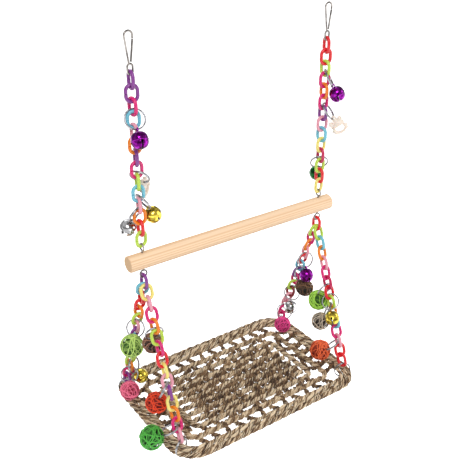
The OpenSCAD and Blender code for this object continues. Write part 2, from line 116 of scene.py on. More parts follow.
def new_material(name, values):
    """A node material and its Principled shader, with values for some of the shader's inputs."""
    material = bpy.data.materials.new(name)
    material.use_nodes = True
    shader = material.node_tree.nodes["Principled BSDF"]
    for label, value in values.items():
        shader.inputs[label].default_value = value
    return material, material.node_tree, shader


floor_drop = 180 * MM
floor_half = 6.0
floor_z = cad_box[0][2] - floor_drop
floor_corners = [(x * floor_half, y * floor_half, floor_z)
                 for x, y in ((-1, -1), (1, -1), (1, 1), (-1, 1))]
floor_mesh = bpy.data.meshes.new("floor")
floor_mesh.from_pydata(floor_corners, [], [(0, 1, 2, 3)])
floor = in_scene("floor", floor_mesh)
floor_paint, tree, shader = new_material("matt_white_paint", {
    "Base Color": linear("#f2f2f2"), "Roughness": 0.9, "Emission Color": linear("#ffffff")})
ray = add(tree, "ShaderNodeLightPath").outputs
seen = math_node(tree, "MAXIMUM", ray["Is Camera Ray"], ray["Is Glossy Ray"])
seen = math_node(tree, "MAXIMUM", seen, ray["Is Transmission Ray"])
tree.links.new(seen, shader.inputs["Emission Strength"])
floor.data.materials.append(floor_paint)

room_light = 0.46
room = bpy.data.worlds.new("white_room")
room.use_nodes = True
scene.world = room
tree = room.node_tree
ray = add(tree, "ShaderNodeLightPath").outputs
strength = add(tree, "ShaderNodeMix", {"Factor": ray["Is Camera Ray"], "A": room_light, "B": 1.0},
               data_type="FLOAT")
background = tree.nodes["Background"].inputs
background["Color"].default_value = (1, 1, 1, 1)
tree.links.new(strength.outputs["Result"], background["Strength"])

# Each lamp: where it stands from the aim in metres, its size in metres, its power in watts
lamps = {
    "key": ((-0.9, -1.3, 1.5), 1.1, 28),
    "fill": ((1.5, -0.8, 0.4), 1.2, 9),
    "rim": ((0.3, 1.5, 1.1), 1.0, 9),
}
for name, (offset, size, power) in lamps.items():
    lamp = in_scene(name + "_lamp", bpy.data.lights.new(name + "_lamp", "AREA"))
    lamp.data.size = size
    lamp.data.energy = power
    lamp.location = camera_aim + Vector(offset)
    lamp.rotation_euler = Vector(offset).to_track_quat("Z", "Y").to_euler()


# Clips and eye wires. Spring-steel wire, bent and nickel plated: bright and smooth, with faint
# drawing marks in its gloss, darker patches of painted reflection in its colour, and a slightly warm grey
# cast.
def mix_colour(tree, factor, a, b):
    """Mixes two colours, each a socket or a linear value."""
    node = add(tree, "ShaderNodeMix", data_type="RGBA")
    wanted = {"Factor": factor, "A": a, "B": b}
    for socket in node.inputs:
        value = wanted.get(socket.name)
        right = socket.type == ("VALUE" if socket.name == "Factor" else "RGBA")
        if value is None or not right:
            continue
        if isinstance(value, bpy.types.NodeSocket):
            tree.links.new(value, socket)
        else:
            socket.default_value = value
    return [s for s in node.outputs if s.type == "RGBA"][0]


def object_place(tree):
    """A point's place in the part's own frame, in metres."""
    return add(tree, "ShaderNodeTexCoord").outputs["Object"]


def noise(tree, place, grain, detail=2.0):
    """Smooth noise about 0.5, with grains of so many millimetres."""
    node = add(tree, "ShaderNodeTexNoise", {"Vector": place, "Scale": 1 / (grain * MM), "Detail": detail})
    return node.outputs["Fac"]


def plated(name, colour, roughness, mark_mm, painted_reflection_share):
    """Bright plating over drawn wire or pressed sheet, with marks along it in its gloss and darker patches
    in its colour that are painted reflection.
    """
    material, tree, shader = new_material(name, {"Metallic": 1.0})
    marks_and_painted_reflections = noise(tree, object_place(tree), mark_mm, detail=3.0)
    painted_reflection_patches = add(tree, "ShaderNodeMapRange", {"Value": marks_and_painted_reflections, "From Min": 0.42, "From Max": 0.6})
    base = linear(colour)
    # The darker copy of the colour, laid in by the patches, is painted reflection.
    dark = [c * painted_reflection_share for c in base[:3]] + [1]
    tree.links.new(mix_colour(tree, painted_reflection_patches.outputs[0], dark, base), shader.inputs["Base Color"])
    gloss = add(tree, "ShaderNodeMapRange", {"Value": marks_and_painted_reflections, "To Min": roughness * 0.7,
                                            "To Max": roughness * 1.4})
    tree.links.new(gloss.outputs[0], shader.inputs["Roughness"])
    return material


def dress(node, material):
    """Gives one material to a CAD node that is shown as it is."""
    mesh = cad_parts[node].data
    mesh.materials.clear()
    mesh.materials.append(material)


nickel = plated("nickel_plated_wire", "#a39d98", 0.3, 9.0, 0.4)
for name in ("left_clip_frame", "left_clip_gate", "right_clip_frame", "right_clip_gate",
             "left_eye_wire", "right_eye_wire"):
    dress(name, nickel)


# Perch. A turned and sanded dowel of pale pine, left bare. Fine grain runs along it, with a few darker
# streaks, and the sawn ends show a browner end grain.
def ramp(tree, value, stops):
    """Turns a value into a colour, by stops of a position and a hex colour from low to high."""
    node = add(tree, "ShaderNodeValToRGB", {"Fac": value})
    points = node.color_ramp.elements
    for point, (position, colour) in zip(points, (stops[0], stops[-1])):
        point.position, point.color = position, linear(colour)
    for position, colour in stops[1:-1]:
        points.new(position).color = linear(colour)
    return node.outputs[0]


def roughen(tree, shader, height, strength, depth):
    """Bumps a shader's surface by a height from 0 to 1, so many millimetres deep."""
    bump = add(tree, "ShaderNodeBump", {"Strength": strength, "Distance": depth * MM, "Height": height})
    tree.links.new(bump.outputs[0], shader.inputs["Normal"])


grain_mm, grain_run_mm, broad_grain_mm, ring_mm = 1.1, 80, 8.8, 0.45
wave_rate = 20
end_facing = 0.8
pine, tree, shader = new_material("sanded_pine", {"Roughness": 0.62})
stretched = add(tree, "ShaderNodeMapping", {"Vector": object_place(tree),
                                           "Scale": (grain_mm / grain_run_mm, 1, 1)}).outputs[0]
grain = noise(tree, stretched, grain_mm, detail=5.0)
broad = noise(tree, stretched, broad_grain_mm)
rings = add(tree, "ShaderNodeTexWave", {
    "Vector": stretched, "Scale": 1 / (ring_mm * MM) / wave_rate, "Distortion": 7.0, "Detail": 2.0},
    wave_type="RINGS", rings_direction="X")
mixed = math_node(tree, "MULTIPLY_ADD", grain, rings.outputs["Fac"], broad)
tone = ramp(tree, mixed, [(0.5, "#e6bd93"), (0.9, "#f5d5b2")])
facing = add(tree, "ShaderNodeSeparateXYZ", {0: add(tree, "ShaderNodeTexCoord").outputs["Normal"]})
on_end = math_node(tree, "GREATER_THAN", math_node(tree, "ABSOLUTE", facing.outputs["X"]), end_facing)
tree.links.new(mix_colour(tree, on_end, tone, linear("#d9b388")), shader.inputs["Base Color"])
roughen(tree, shader, grain, 0.25, 0.1)
dress("perch", pine)


# Chain links. Each is an oval of injection-moulded polystyrene in one of ten bright colours, slit in one
# side and snapped onto the next. The plastic is glossy and lets a little light in.
link_wire, link_length, link_width, link_slit, slack = 3.3, 20, 15, 0.3, 0.3
link_bend = (link_width - link_wire) / 2
link_half = (link_length - link_wire) / 2
pitch = link_length - 2 * link_wire - slack
section_sides = 12
bend_steps = 12


def shade_smooth(mesh, sharp_from):
    """Shades a mesh smooth, but for edges of so many degrees and more."""
    mesh.polygons.foreach_set("use_smooth", [True] * len(mesh.polygons))
    mesh.set_sharp_from_angle(angle=math.radians(sharp_from))


def sweep_mesh(name, centres, sides, radii):
    """A capped tube along points in the XZ plane, with a radius at each."""
    centres = np.array(centres, float)
    ahead = np.gradient(centres, axis=0)
    ahead /= np.linalg.norm(ahead, axis=1)[:, None]
    across = np.cross(ahead, (0, 1, 0))
    turn = np.arange(sides) * 2 * math.pi / sides
    rows = [c + r * (np.cos(turn)[:, None] * a + np.sin(turn)[:, None] * np.array((0, 1, 0)))
            for c, a, r in zip(centres, across, radii)]
    count = len(centres)
    faces = [[i * sides + j, i * sides + (j + 1) % sides,
              (i + 1) * sides + (j + 1) % sides, (i + 1) * sides + j]
             for i in range(count - 1) for j in range(sides)]
    faces += [list(range(sides)), list(range(count * sides - 1, (count - 1) * sides - 1, -1))]
    mesh = bpy.data.meshes.new(name)
    mesh.from_pydata((np.concatenate(rows) * MM).tolist(), [], faces)
    work = bmesh.new()
    work.from_mesh(mesh)
    bmesh.ops.remove_doubles(work, verts=work.verts, dist=1e-7)
    bmesh.ops.recalc_face_normals(work, faces=work.faces)
    work.to_mesh(mesh)
    work.free()
    shade_smooth(mesh, 40)
    return mesh


half_straight = (link_length - link_width) / 2
top_bend = [(link_bend * math.cos(a), 0, half_straight + link_bend * math.sin(a))
            for a in np.linspace(0, math.pi, bend_steps + 1)]
low_bend = [(-x, y, -z) for x, y, z in top_bend]
lip = 0.25
link_round = 0.5
link_play = 17
straight_stop = 0.75
shake = random.Random(7)
slit_half = link_slit / 2
up = [(link_bend, 0, z) for z in (slit_half, slit_half + lip, half_straight * straight_stop)]
down = [(x, y, -z) for x, y, z in reversed(up)]
link_path = up + top_bend + low_bend + down
link_radii = [(link_wire + link_round) / 2] * len(link_path)
link_radii[0] = link_radii[-1] = link_wire / 2 - lip
link_shape = in_scene("link_shape", sweep_mesh("link_shape", link_path, section_sides, link_radii))

colours = {
    "purple": "#8a3f95", "pink": "#e0337c", "rose": "#f0a8b8", "sky": "#7cc8dc", "orange": "#f58a2a",
    "red": "#e8353b", "lime": "#c4e25c", "yellow": "#f8e886", "crimson": "#c8285a", "maroon": "#8e2a30",
}
upper_colours = {
    "left": "purple purple pink sky rose orange purple pink lime sky rose orange red lime",
    "right": "red red lime pink orange pink purple rose sky yellow crimson lime red yellow",
}
lower_colours = {
    ("left", 1): "sky red red orange lime rose purple sky yellow lime lime orange pink purple",
    ("left", -1): "yellow rose pink orange lime pink red yellow rose purple yellow orange pink rose",
    ("right", 1): "lime pink orange rose red sky purple pink lime maroon rose rose pink pink",
    ("right", -1): "lime sky orange rose pink crimson red lime orange sky pink rose red red",
}

plastic, tree, shader = new_material("moulded_polystyrene", {
    "Roughness": 0.32, "Subsurface Weight": 0.18, "Subsurface Radius": (1, 1, 1),
    "Subsurface Scale": 1.2 * MM})
tint = add(tree, "ShaderNodeAttribute", attribute_name="tint").outputs["Color"]
place = object_place(tree)
deeper = add(tree, "ShaderNodeHueSaturation", {"Color": tint, "Value": 0.84, "Saturation": 1.05})
swirl = noise(tree, place, 6)
tree.links.new(mix_colour(tree, swirl, deeper.outputs[0], tint), shader.inputs["Base Color"])
roughen(tree, shader, noise(tree, place, 2.5), 0.2, 0.15)


def new_group(name, sockets):
    """A geometry node tree with the named inputs and one geometry output."""
    group = bpy.data.node_groups.new(name, "GeometryNodeTree")
    for label, kind in sockets.items():
        group.interface.new_socket(label, in_out="INPUT", socket_type="NodeSocket" + kind)
    group.interface.new_socket("Geometry", in_out="OUTPUT", socket_type="NodeSocketGeometry")
    return group, add(group, "NodeGroupInput").outputs


def finish_group(group, geometry, finish):
    """Ends a tree: its geometry takes a material and goes out."""
    finished = add(group, "GeometryNodeSetMaterial", {"Geometry": geometry, "Material": finish})
    add(group, "NodeGroupOutput", {0: finished.outputs[0]})


def apply_group(source, group, values):
    """Runs a tree on an object, keeps the result as a plain mesh and removes the object."""
    modifier = source.modifiers.new(group.name, "NODES")
    modifier.node_group = group
    for item in group.interface.items_tree:
        if item.in_out == "INPUT" and item.name in values:
            modifier[item.identifier] = values[item.name]
    graph = bpy.context.evaluated_depsgraph_get()
    mesh = bpy.data.meshes.new_from_object(source.evaluated_get(graph))
    name = source.name
    bpy.data.objects.remove(source)
    mesh.name = name
    return in_scene(name, mesh)


copies, given = new_group("copies_on_points", {"Geometry": "Geometry", "Shape": "Object",
                                               "Finish": "Material"})
shape = add(copies, "GeometryNodeObjectInfo", {"Object": given["Shape"]})
turn = add(copies, "GeometryNodeInputNamedAttribute", {"Name": "turn"}, data_type="FLOAT_VECTOR")
turned = add(copies, "FunctionNodeEulerToRotation", {0: turn.outputs["Attribute"]})
placed = add(copies, "GeometryNodeInstanceOnPoints", {
    "Points": given["Geometry"], "Instance": shape.outputs["Geometry"], "Rotation": turned.outputs[0]})
real = add(copies, "GeometryNodeRealizeInstances", {0: placed.outputs[0]})
finish_group(copies, real.outputs[0], given["Finish"])


def copies_at(name, shape, finish, matrices, tints=None):
    """One mesh of a shape repeated at each matrix, with a colour for each copy."""
    mesh = bpy.data.meshes.new(name)
    mesh.from_pydata([m.translation for m in matrices], [], [])
    turns = mesh.attributes.new("turn", "FLOAT_VECTOR", "POINT")
    turns.data.foreach_set("vector", [a for m in matrices for a in m.to_euler()])
    if tints:
        attribute = mesh.attributes.new("tint", "FLOAT_COLOR", "POINT")
        attribute.data.foreach_set("color", [c for t in tints for c in linear(colours[t])])
    return apply_group(in_scene(name, mesh), copies, {"Shape": shape, "Finish": finish})


def middle(node):
    """The middle of a CAD node's box, in metres."""
    low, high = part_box(node)
    return (Vector(low) + Vector(high)) / 2


side_play = 0.4
corner_spacing = 132
lower_links = 14
first_y = (link_wire + side_play) / 2
first_drop = math.sqrt((link_bend - link_wire - slack) ** 2 - first_y ** 2)
lower_length = (lower_links - 1) * pitch + 2 * link_half
chain_lean = math.asin((corner_spacing / 2 - first_y) / lower_length)
chain_z = middle("left_yoke_link").z / MM - link_half + link_bend - first_drop


def link_turn(quarters):
    """A link's turn about the chain: so many quarters, and a few degrees of play."""
    return Matrix.Rotation(math.radians(90 * quarters + shake.uniform(-link_play, link_play)), 4, "Z")


def upper_link(side, number):
    """Where link number of an upper chain hangs, and which way it faces."""
    place = middle(f"{side}_top_link") - Vector((0, 0, (number - 1) * pitch * MM))
    return Matrix.Translation(place) @ link_turn(number % 2 or 2)


def lower_link(side, row, number):
    """The same for a lower chain: row is 1 for the back one and -1 for the front one."""
    start = Vector((middle(f"{side}_yoke_link").x / MM, row * first_y, chain_z))
    run = Vector((0, row * math.sin(chain_lean), -math.cos(chain_lean)))
    place = (start + run * (link_half + (number - 1) * pitch)) * MM
    return (Matrix.Translation(place) @ Matrix.Rotation(row * chain_lean, 4, "X")
            @ link_turn((number - 1) % 2))


def chain_piece(name, matrices, tints, body, nodes):
    """Makes the links of one body and lets them stand for their CAD nodes."""
    piece = copies_at(name, link_shape, plastic, matrices, tints)
    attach(piece, body)
    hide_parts(*nodes)


upper_links = 14
moving_links = 10
for side in ("left", "right"):
    tints = upper_colours[side].split()
    for node, body, numbers in ((f"{side}_top_link", f"{side}_top_link", [1]),
                                (f"{side}_upper_chain", f"{side}_chain", range(2, upper_links)),
                                (f"{side}_perch_link", f"{side}_perch_link", [upper_links])):
        matrices = [upper_link(side, n) for n in numbers]
        chain_piece(node + "_plastic", matrices, [tints[n - 1] for n in numbers], body, [node])
    yoke_tint = {"left": "purple", "right": "red"}[side]
    yoke = Matrix.Translation(middle(f"{side}_yoke_link")) @ Matrix.Rotation(math.radians(90), 4, "Z")
    chain_piece(f"{side}_yoke_plastic", [yoke], [yoke_tint], f"{side}_yoke", [f"{side}_yoke_link"])
    hung = [(row, n) for row in (1, -1) for n in range(1, moving_links + 1)]
    chain_piece(f"{side}_lower_chains_plastic", [lower_link(side, row, n) for row, n in hung],
                [lower_colours[side, row].split()[n - 1] for row, n in hung], f"{side}_lower_chains",
                [f"{side}_back_chain", f"{side}_front_chain"])
corner = [(side, row, n) for side in ("left", "right") for row in (1, -1)
          for n in range(moving_links + 1, lower_links + 1)]
chain_piece("corner_links_plastic", [lower_link(*c) for c in corner],
            [lower_colours[side, row].split()[n - 1] for side, row, n in corner], "mat",
            [f"{side}_{row}_corner_links" for side in ("left", "right") for row in ("back", "front")])
bpy.data.objects.remove(link_shape)


# Split rings. Each is two close turns of plated spring wire, whose ends overlap. A ring is threaded
# through a chain link, and the bell, ball, charm or mat hangs in it.
def tube(group, curve, radius, sides, caps, size=1.0):
    """Sweeps a round section along a curve, with its size along the way, and shades it smooth."""
    section = add(group, "GeometryNodeCurvePrimitiveCircle", {"Resolution": sides, "Radius": radius})
    swept = add(group, "GeometryNodeCurveToMesh", {
        "Curve": curve, "Profile Curve": section.outputs[0], "Scale": size, "Fill Caps": caps})
    return add(group, "GeometryNodeSetShadeSmooth", {"Geometry": swept.outputs[0]}).outputs[0]


ring_bend = 10.3
ring_wire = 1.6
ring_turns = 1.97
# The ring steel's colour carries darker patches of painted reflection.
ring_steel = plated("plated_spring_steel", "#b2b2b6", 0.34, 3.0, 0.5)
split_ring, given = new_group("split_ring", {"Bend": "Float", "Wire": "Float", "Finish": "Material"})
coil = add(split_ring, "GeometryNodeCurveSpiral", {
    "Resolution": 60, "Rotations": ring_turns, "Start Radius": given["Bend"],
    "End Radius": given["Bend"], "Height": given["Wire"]})
wire_radius = math_node(split_ring, "MULTIPLY", given["Wire"], 0.5)
wire = tube(split_ring, coil.outputs[0], wire_radius, sides=8, caps=True)
finish_group(split_ring, wire, given["Finish"])
ring_shape = apply_group(in_scene("ring_shape", bpy.data.meshes.new("ring_shape")), split_ring,
                         {"Bend": ring_bend * MM, "Wire": ring_wire * MM, "Finish": ring_steel})
ring_shape.data.transform(Matrix.Translation((0, 0, -ring_wire / 2 * MM)))
ring_shape.data.transform(Matrix.Rotation(math.radians(90), 4, "Y"))


def islands(node):
    """The separate solids of a CAD node, as arrays of their corners, in the order of their boxes."""
    work = bmesh.new()
    work.from_mesh(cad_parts[node].data)
    bmesh.ops.remove_doubles(work, verts=work.verts, dist=1e-7)
    left = set(work.verts)
    found = []
    while left:
        group, queue = [], [left.pop()]
        while queue:
            vert = queue.pop()
            group.append(vert.co[:])
            for edge in vert.link_edges:
                other = edge.other_vert(vert)
                if other in left:
                    left.remove(other)
                    queue.append(other)
        found.append(np.array(group))
    work.free()
    return sorted(found, key=lambda points: tuple(np.round([*points.min(axis=0), *points.max(axis=0)], 4)))


def box_middle(points):
    """The middle of the box round some points."""
    return Vector((points.min(axis=0) + points.max(axis=0)) / 2)


# A ring's axis is turned to this side, so that it faces the same way in every run
axis_side = Vector((1, 0.31, 0.17))


def ring_frame(points, hung_at=None):
    """A ring's middle, with X along its axis and Z away from what hangs in it."""
    centre = Vector(points.mean(axis=0))
    axis = Vector(np.linalg.svd(points - points.mean(axis=0), full_matrices=False)[2][2])
    if axis.dot(axis_side) < 0:
        axis.negate()
    up = (centre - hung_at) if hung_at else Vector((0, 0, 1))
    up = (up - axis * up.dot(axis)).normalized()
    side = up.cross(axis)
    turn = Matrix((axis, side, up)).transposed().to_4x4()
    return Matrix.Translation(centre) @ turn


corner_rings = copies_at("corner_split_rings", ring_shape, ring_steel,
                         [ring_frame(points) for points in islands("corner_rings")])
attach(corner_rings, "mat")
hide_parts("corner_rings")


# Jingle bells. Each is pressed from thin steel in two cups that are joined at a rolled seam, slit crosswise
# below with a round hole at each end, plated and lacquered in one colour. A steel pellet rolls inside.
bell_r, bell_wall, seam_r, slot, slot_hole, pellet_r = 8.75, 0.6, 0.5, 1.6, 2.8, 2.0
bell_loop_bend, bell_loop_wire = 1.9, 1.2
slot_top = -bell_r * 0.22
slot_past, hole_past = 2, 1.5
seam_half_turn, seam_steps, seam_clear = 1.3, 7, 1.1
squareness = 2.5
painted_shade_share = 0.6
lathe_steps = 28
lathe_turns = 56


def lathe(name, profile):
    """A closed outline in (radius, height) turned about Z."""
    turn = [2 * math.pi * i / lathe_turns for i in range(lathe_turns)]
    verts = [(r * math.cos(t) * MM, r * math.sin(t) * MM, z * MM) for t in turn for r, z in profile]
    count = len(profile)
    faces = []
    for i in range(lathe_turns):
        for j in range(count):
            a, b = i * count + j, i * count + (j + 1) % count
            c, d = ((i + 1) % lathe_turns) * count + (j + 1) % count, ((i + 1) % lathe_turns) * count + j
            faces.append((a, b, c, d))
    mesh = bpy.data.meshes.new(name)
    mesh.from_pydata(verts, [], faces)
    work = bmesh.new()
    work.from_mesh(mesh)
    bmesh.ops.remove_doubles(work, verts=work.verts, dist=1e-7)
    bmesh.ops.dissolve_degenerate(work, edges=work.edges, dist=1e-7)
    bmesh.ops.recalc_face_normals(work, faces=work.faces)
    work.to_mesh(mesh)
    work.free()
    return mesh


def shell_outline():
    """The bell's wall in section: outside from the foot to the top, then back down the inside."""
    turns = [-math.pi / 2 + math.pi * i / lathe_steps for i in range(lathe_steps + 1)]
    outside = [drum(a, bell_r) for a in turns]
    seam = [(bell_r + seam_r * math.cos(a), seam_r * math.sin(a))
            for a in np.linspace(-seam_half_turn, seam_half_turn, seam_steps)]
    below = [p for p in outside if p[1] < -seam_r * seam_clear]
    above = [p for p in outside if p[1] > seam_r * seam_clear]
    inside = [drum(a, bell_r - bell_wall) for a in reversed(turns)]
    return below + seam + above + inside


def drum(angle, radius):
    """A point of the bell's outline, which is a circle drawn out towards a square."""
    grow = (abs(math.cos(angle)) ** squareness + abs(math.sin(angle)) ** squareness) ** (-1 / squareness)
    return radius * grow * math.cos(angle), radius * grow * math.sin(angle)


def cutter_mesh():
    """The crossed slots and the holes at their ends, as one solid to cut with."""
    work = bmesh.new()
    reach = bell_r + slot_past
    for turn in (0, math.pi / 2):
        spin = Matrix.Rotation(turn, 4, "Z")
        size = Matrix.Diagonal((2 * reach, slot, reach + slot_top, 1))
        low = Matrix.Translation((0, 0, (slot_top - reach) / 2))
        bmesh.ops.create_cube(work, size=1, matrix=Matrix.Scale(MM, 4) @ spin @ low @ size)
        for way in (1, -1):
            out = Matrix.Translation((way * reach / 2 + way * hole_past, 0, slot_top))
            at = spin @ out @ Matrix.Rotation(math.pi / 2, 4, "Y")
            bmesh.ops.create_cone(work, cap_ends=True, segments=20, radius1=slot_hole / 2,
                                  radius2=slot_hole / 2, depth=reach, matrix=Matrix.Scale(MM, 4) @ at)
    mesh = bpy.data.meshes.new("bell_slots")
    work.to_mesh(mesh)
    work.free()
    return mesh


# The cut fills the wall's inside, so the mesh is a filled ball with deep slots. Their walls, in a dark
# steel colour that is painted shade of the hollow, and the pellet between them stand for the hollow.
bell_shell = in_scene("bell_shell", lathe("bell_shell", shell_outline()))
bell_slots = in_scene("bell_slots", cutter_mesh())
cut = bell_shell.modifiers.new("slots", "BOOLEAN")
cut.operation = "DIFFERENCE"
cut.object = bell_slots
cut.solver = "EXACT"
cut.use_self = True
graph = bpy.context.evaluated_depsgraph_get()
bell_mesh = bpy.data.meshes.new_from_object(bell_shell.evaluated_get(graph))
bpy.data.objects.remove(bell_shell)
bpy.data.objects.remove(bell_slots)
# Faces deep in the filled wall, which are the slot walls, take the painted shade of the hollow.
for face in bell_mesh.polygons:
    face.material_index = 2 if face.center.length < (bell_r - bell_wall * painted_shade_share) * MM else 0


def torus(bend, wire, steps, sides):
    """Corners and faces of a torus about Y, in millimetres."""
    verts = []
    for a in (2 * math.pi * i / steps for i in range(steps)):
        for b in (2 * math.pi * j / sides for j in range(sides)):
            out = bend + wire * math.cos(b)
            verts.append((out * math.cos(a), wire * math.sin(b), out * math.sin(a)))
    faces = [(i * sides + j, i * sides + (j + 1) % sides, ((i + 1) % steps) * sides + (j + 1) % sides,
              ((i + 1) % steps) * sides + j) for i in range(steps) for j in range(sides)]
    return verts, faces


pellet_drop = bell_r - bell_wall - pellet_r - slack / 2


def bell_piece(name, place, finishes):
    """A bell with its loop and pellet at a place, with finishes for its outside, pellet and the painted
    shade of its hollow.
    """
    work = bmesh.new()
    work.from_mesh(bell_mesh)
    loop_verts, loop_faces = torus(bell_loop_bend, bell_loop_wire / 2, steps=20, sides=8)
    lift = bell_r + bell_loop_bend
    made = [work.verts.new((x * MM, y * MM, (z + lift) * MM)) for x, y, z in loop_verts]
    for f in loop_faces:
        work.faces.new([made[i] for i in f])
    steel_from = len(work.faces)
    bmesh.ops.create_uvsphere(work, u_segments=16, v_segments=10, radius=pellet_r * MM,
                              matrix=Matrix.Translation((0, 0, -pellet_drop * MM)))
    work.faces.ensure_lookup_table()
    for f in list(work.faces)[steel_from:]:
        f.material_index = 1
    bmesh.ops.recalc_face_normals(work, faces=work.faces)
    bmesh.ops.transform(work, matrix=place, verts=work.verts)
    mesh = bpy.data.meshes.new(name)
    work.to_mesh(mesh)
    work.free()
    shade_smooth(mesh, 35)
    for finish in finishes:
        mesh.materials.append(finish)
    return in_scene(name, mesh)


# Each lacquer: its colour and its roughness
lacquers = {"purple": ("#9c1fa6", 0.14), "gold": ("#fade58", 0.12), "silver": ("#f4f4f6", 0.12),
            "green": ("#1d6b34", 0.16)}
# Each bell's lacquer colour carries darker patches of painted reflection.
bell_finishes = {name: plated(f"lacquered_bell_{name}", colour, rough, 4.5, 0.3)
                 for name, (colour, rough) in lacquers.items()}
# A dark steel colour for the slot walls: painted shade standing for the hollow inside the bell.
bell_hollow_painted_shade = plated("bare_steel_inside_bell", "#3a3634", 0.5, 2.0, 0.4)
bells = {
    "left_purple_bell": "purple", "left_gold_bell": "gold", "left_silver_bell": "silver",
    "right_purple_bell": "purple", "right_green_bell": "green", "mat_gold_bell": "gold",
    "lower_purple_bell": "purple", "lower_silver_bell": "silver", "lower_gold_bell": "gold",
}
for node, lacquer in bells.items():
    solids = sorted(islands(node), key=lambda p: np.ptp(p, axis=0).max())
    pellet, others = solids[0], solids[1:]
    ring = min(others, key=lambda p: np.linalg.svd(p - p.mean(axis=0), compute_uv=False)[2] / len(p) ** 0.5)
    pellet_at = box_middle(pellet)
    frame_at = ring_frame(ring, pellet_at)
    bell_at = Matrix.Translation(pellet_at - frame_at.translation) @ frame_at
    bell_at = bell_at @ Matrix.Translation((0, 0, pellet_drop * MM))
    piece = bell_piece(node + "_shell", bell_at, (bell_finishes[lacquer], nickel, bell_hollow_painted_shade))
    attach(piece, node)
    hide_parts(node)
    hoop = copies_at(node + "_split_ring", ring_shape, ring_steel, [frame_at])
    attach(hoop, node)


# Charms. Flat moulded plastic in a pale cream, a rocking horse in outline with rounded edges, hung by a
# hole near its top.
cream, tree, shader = new_material("pale_moulded_plastic", {
    "Roughness": 0.38, "Subsurface Weight": 0.25, "Subsurface Radius": (1, 0.8, 0.6),
    "Subsurface Scale": 1.5 * MM})
cloud = noise(tree, object_place(tree), 5)
cream_colour = mix_colour(tree, cloud, linear("#eedccb"), linear("#faeee2"))
tree.links.new(cream_colour, shader.inputs["Base Color"])
charm_edge = 0.5
flat_below, rim_above = math.radians(1), math.radians(60)


def charm_plate(node, plate):
    """The charm's plate alone, with its rims rounded over."""
    keep = set(map(tuple, np.round(plate, 6)))
    work = bmesh.new()
    work.from_mesh(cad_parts[node].data)
    bmesh.ops.remove_doubles(work, verts=work.verts, dist=1e-7)
    gone = [v for v in work.verts if tuple(np.round(v.co[:], 6)) not in keep]
    bmesh.ops.delete(work, geom=gone, context="VERTS")
    bmesh.ops.dissolve_limit(work, angle_limit=flat_below, verts=work.verts, edges=work.edges)
    rims = [e for e in work.edges if len(e.link_faces) == 2 and e.calc_face_angle(0) > rim_above]
    bmesh.ops.bevel(work, geom=rims, offset=charm_edge * MM, segments=3, affect="EDGES", clamp_overlap=True)
    mesh = bpy.data.meshes.new(node + "_plate")
    work.to_mesh(mesh)
    work.free()
    shade_smooth(mesh, 50)
    mesh.materials.append(cream)
    return in_scene(node + "_plate", mesh)


def off_ring(points):
    """How far some points lie from a ring's round line on average, in metres."""
    return np.abs(np.linalg.norm(points - points.mean(axis=0), axis=1) - ring_bend * MM).mean()


for node in ("left_charm", "right_charm"):
    solids = islands(node)
    ring = min(solids, key=off_ring)
    plate = [p for p in solids if p is not ring][0]
    piece = charm_plate(node, plate)
    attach(piece, node)
    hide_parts(node)
    hoop = copies_at(node + "_split_ring", ring_shape, ring_steel, [ring_frame(ring, box_middle(plate))])
    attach(hoop, node)


# Vine balls. Peeled vine, dyed, is wound round and round into a hollow ball and glued where it crosses.
# The strands are about a millimetre across, lie at all angles and leave dark gaps between them.
def vector_node(tree, operation, a, b=(0, 0, 0)):
    """One step of arithmetic on one or two vectors or sockets."""
    return add(tree, "ShaderNodeVectorMath", {0: a, 1: b}, operation=operation).outputs[0]


def scaled(tree, vector, size):
    """A vector socket times a value or socket."""
    return add(tree, "ShaderNodeVectorMath", {0: vector, "Scale": size}, operation="SCALE").outputs[0]


full_turn = 6.283
half_grey = (0.5, 0.5, 0.5)
sink_share = 0.17
wobble_rate, wobble_push, lane_gap = 1.1, 0.85, 37.0
winding, given = new_group("wound_ball", {"Radius": "Float", "Strand": "Float", "Turns": "Int",
                                          "Seed": "Int", "Finish": "Material"})
spots = add(winding, "GeometryNodePoints", {"Count": given["Turns"]})
hoop_curve = add(winding, "GeometryNodeCurvePrimitiveCircle", {"Resolution": 40, "Radius": 1.0})
tilt = add(winding, "FunctionNodeRandomValue", {
    "Min": (0, 0, 0), "Max": (full_turn, full_turn, full_turn), "Seed": given["Seed"]},
    data_type="FLOAT_VECTOR")
tilted = add(winding, "FunctionNodeEulerToRotation", {0: tilt.outputs[0]})
chance = add(winding, "FunctionNodeRandomValue", {2: 0.0, 3: 1.0, "Seed": given["Seed"]},
             data_type="FLOAT").outputs[1]
sunk = math_node(winding, "MULTIPLY", chance, chance)
hoops = add(winding, "GeometryNodeInstanceOnPoints", {
    "Points": spots.outputs[0], "Instance": hoop_curve.outputs[0], "Rotation": tilted.outputs[0],
    "Scale": math_node(winding, "MULTIPLY_ADD", sunk, -sink_share, 1.0)})
# Each hoop keeps how far out it lies, so that the vine's colour can paint shade on the deeper ones.
marked = add(winding, "GeometryNodeStoreNamedAttribute", {
    "Geometry": hoops.outputs[0], "Name": "strand", "Value": math_node(winding, "SUBTRACT", 1.0, chance)},
    data_type="FLOAT", domain="INSTANCE")
loose = add(winding, "GeometryNodeRealizeInstances", {0: marked.outputs[0]})
here = add(winding, "GeometryNodeInputPosition").outputs[0]
strand = add(winding, "GeometryNodeInputNamedAttribute", {"Name": "strand"},
             data_type="FLOAT").outputs["Attribute"]
lane = add(winding, "ShaderNodeCombineXYZ", {0: strand, 1: strand, 2: strand}).outputs[0]
sampled = vector_node(winding, "ADD", here, scaled(winding, lane, lane_gap))
wobble = add(winding, "ShaderNodeTexNoise", {"Vector": sampled, "Scale": wobble_rate, "Detail": 1.0})
centred = vector_node(winding, "SUBTRACT", wobble.outputs["Color"], half_grey)
bent = vector_node(winding, "ADD", here, scaled(winding, centred, wobble_push))
